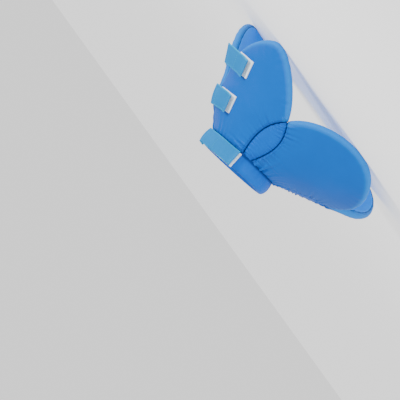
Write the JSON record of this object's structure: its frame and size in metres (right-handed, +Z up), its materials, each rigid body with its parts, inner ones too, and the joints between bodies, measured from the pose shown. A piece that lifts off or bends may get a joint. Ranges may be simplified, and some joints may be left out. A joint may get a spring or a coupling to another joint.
{
  "type": "elizabethan collar",
  "caption": "Soft padded elizabethan collar with stuffed petals, lens gussets, a stuffed neck band and hook-and-loop straps that close it at the nape.",
  "frame": {"origin": "centre of the bounding box, on the plane that the four petal tips stand on", "axes": "+Z up through the neck opening, +X towards the nape where the collar opens, -Y the wearer's right"},
  "size_m": [0.2922, 0.2652, 0.1468],
  "materials": {
    "cover": "smooth satin woven polyester",
    "gusset": "smooth satin woven polyester, slightly puckered",
    "lining": "smooth satin woven polyester",
    "neck_band": "soft brushed polyester",
    "foam": "polyurethane foam and wadding",
    "webbing": "ribbed woven tape",
    "hook_tape": "hook side of hook-and-loop tape",
    "loop_tape": "loop side of hook-and-loop tape"
  },
  "bodies": {
    "throat_right": {"throat_right_cover": "cover", "throat_right_foam": "foam", "throat_right_lining": "lining", "neck_band_throat_right": "neck_band", "neck_roll_throat_right": "foam", "right_gusset_panel": "gusset", "throat_gusset_panel": "gusset", "right_gusset_wadding": "foam", "throat_gusset_wadding": "foam", "right_gusset_lining": "lining", "throat_gusset_lining": "lining"},
    "throat_left": {"throat_left_cover": "cover", "throat_left_foam": "foam", "throat_left_lining": "lining", "neck_band_throat_left": "neck_band", "neck_roll_throat_left": "foam", "left_gusset_panel": "gusset", "left_gusset_wadding": "foam", "left_gusset_lining": "lining"},
    "nape_right": {"nape_right_cover": "cover", "nape_right_foam": "foam", "nape_right_lining": "lining", "neck_band_nape_right": "neck_band", "neck_roll_nape_right": "foam", "upper_strap_loop_patch": "loop_tape", "lower_strap_loop_patch": "loop_tape", "neck_strap_loop_patch": "loop_tape"},
    "nape_left": {"nape_left_cover": "cover", "nape_left_foam": "foam", "nape_left_lining": "lining", "neck_band_nape_left": "neck_band", "neck_roll_nape_left": "foam"},
    "upper_strap": {"upper_strap_webbing": "webbing", "upper_strap_hook_patch": "hook_tape"},
    "lower_strap": {"lower_strap_webbing": "webbing", "lower_strap_hook_patch": "hook_tape"},
    "neck_strap": {"neck_strap_webbing": "webbing", "neck_strap_hook_patch": "hook_tape"}
  },
  "joints": [
    {"name": "right_fold", "type": "hinge", "parent": "throat_right", "child": "nape_right", "pos_m": [0.02162, -0.0517, 0.11361], "axis": [0.1617, -0.5691, -0.8062], "range_deg": [0, 40]},
    {"name": "left_fold", "type": "hinge", "parent": "throat_left", "child": "nape_left", "pos_m": [0.02162, 0.04794, 0.11793], "axis": [0.1328, -0.6161, 0.7764], "range_deg": [0, 40]},
    {"name": "throat_fold", "type": "hinge", "parent": "throat_right", "child": "throat_left", "pos_m": [-0.03089, -0.00142, 0.10505], "axis": [0.8196, 0.251, 0.515], "range_deg": [0, 10]},
    {"name": "upper_strap_peel", "type": "hinge", "parent": "nape_left", "child": "upper_strap", "pos_m": [0.12174, 0.05202, 0.05296], "axis": [-0.5934, -0.3199, 0.7386], "range_deg": [0, 110]},
    {"name": "lower_strap_peel", "type": "hinge", "parent": "nape_left", "child": "lower_strap", "pos_m": [0.08931, 0.03997, 0.09322], "axis": [-0.5477, -0.3426, 0.7634], "range_deg": [0, 110]},
    {"name": "neck_strap_peel", "type": "hinge", "parent": "nape_left", "child": "neck_strap", "pos_m": [0.05998, 0.02552, 0.13556], "axis": [-0.2159, -0.0515, 0.9751], "range_deg": [0, 110]}
  ],
  "couplings": [
    {"joint": "left_fold", "follows": "right_fold", "ratio": 1},
    {"joint": "throat_fold", "follows": "right_fold", "ratio": 0.25},
    {"joint": "upper_strap_peel", "follows": "right_fold", "ratio": 2.75},
    {"joint": "lower_strap_peel", "follows": "right_fold", "ratio": 2.75},
    {"joint": "neck_strap_peel", "follows": "right_fold", "ratio": 2.75}
  ]
}
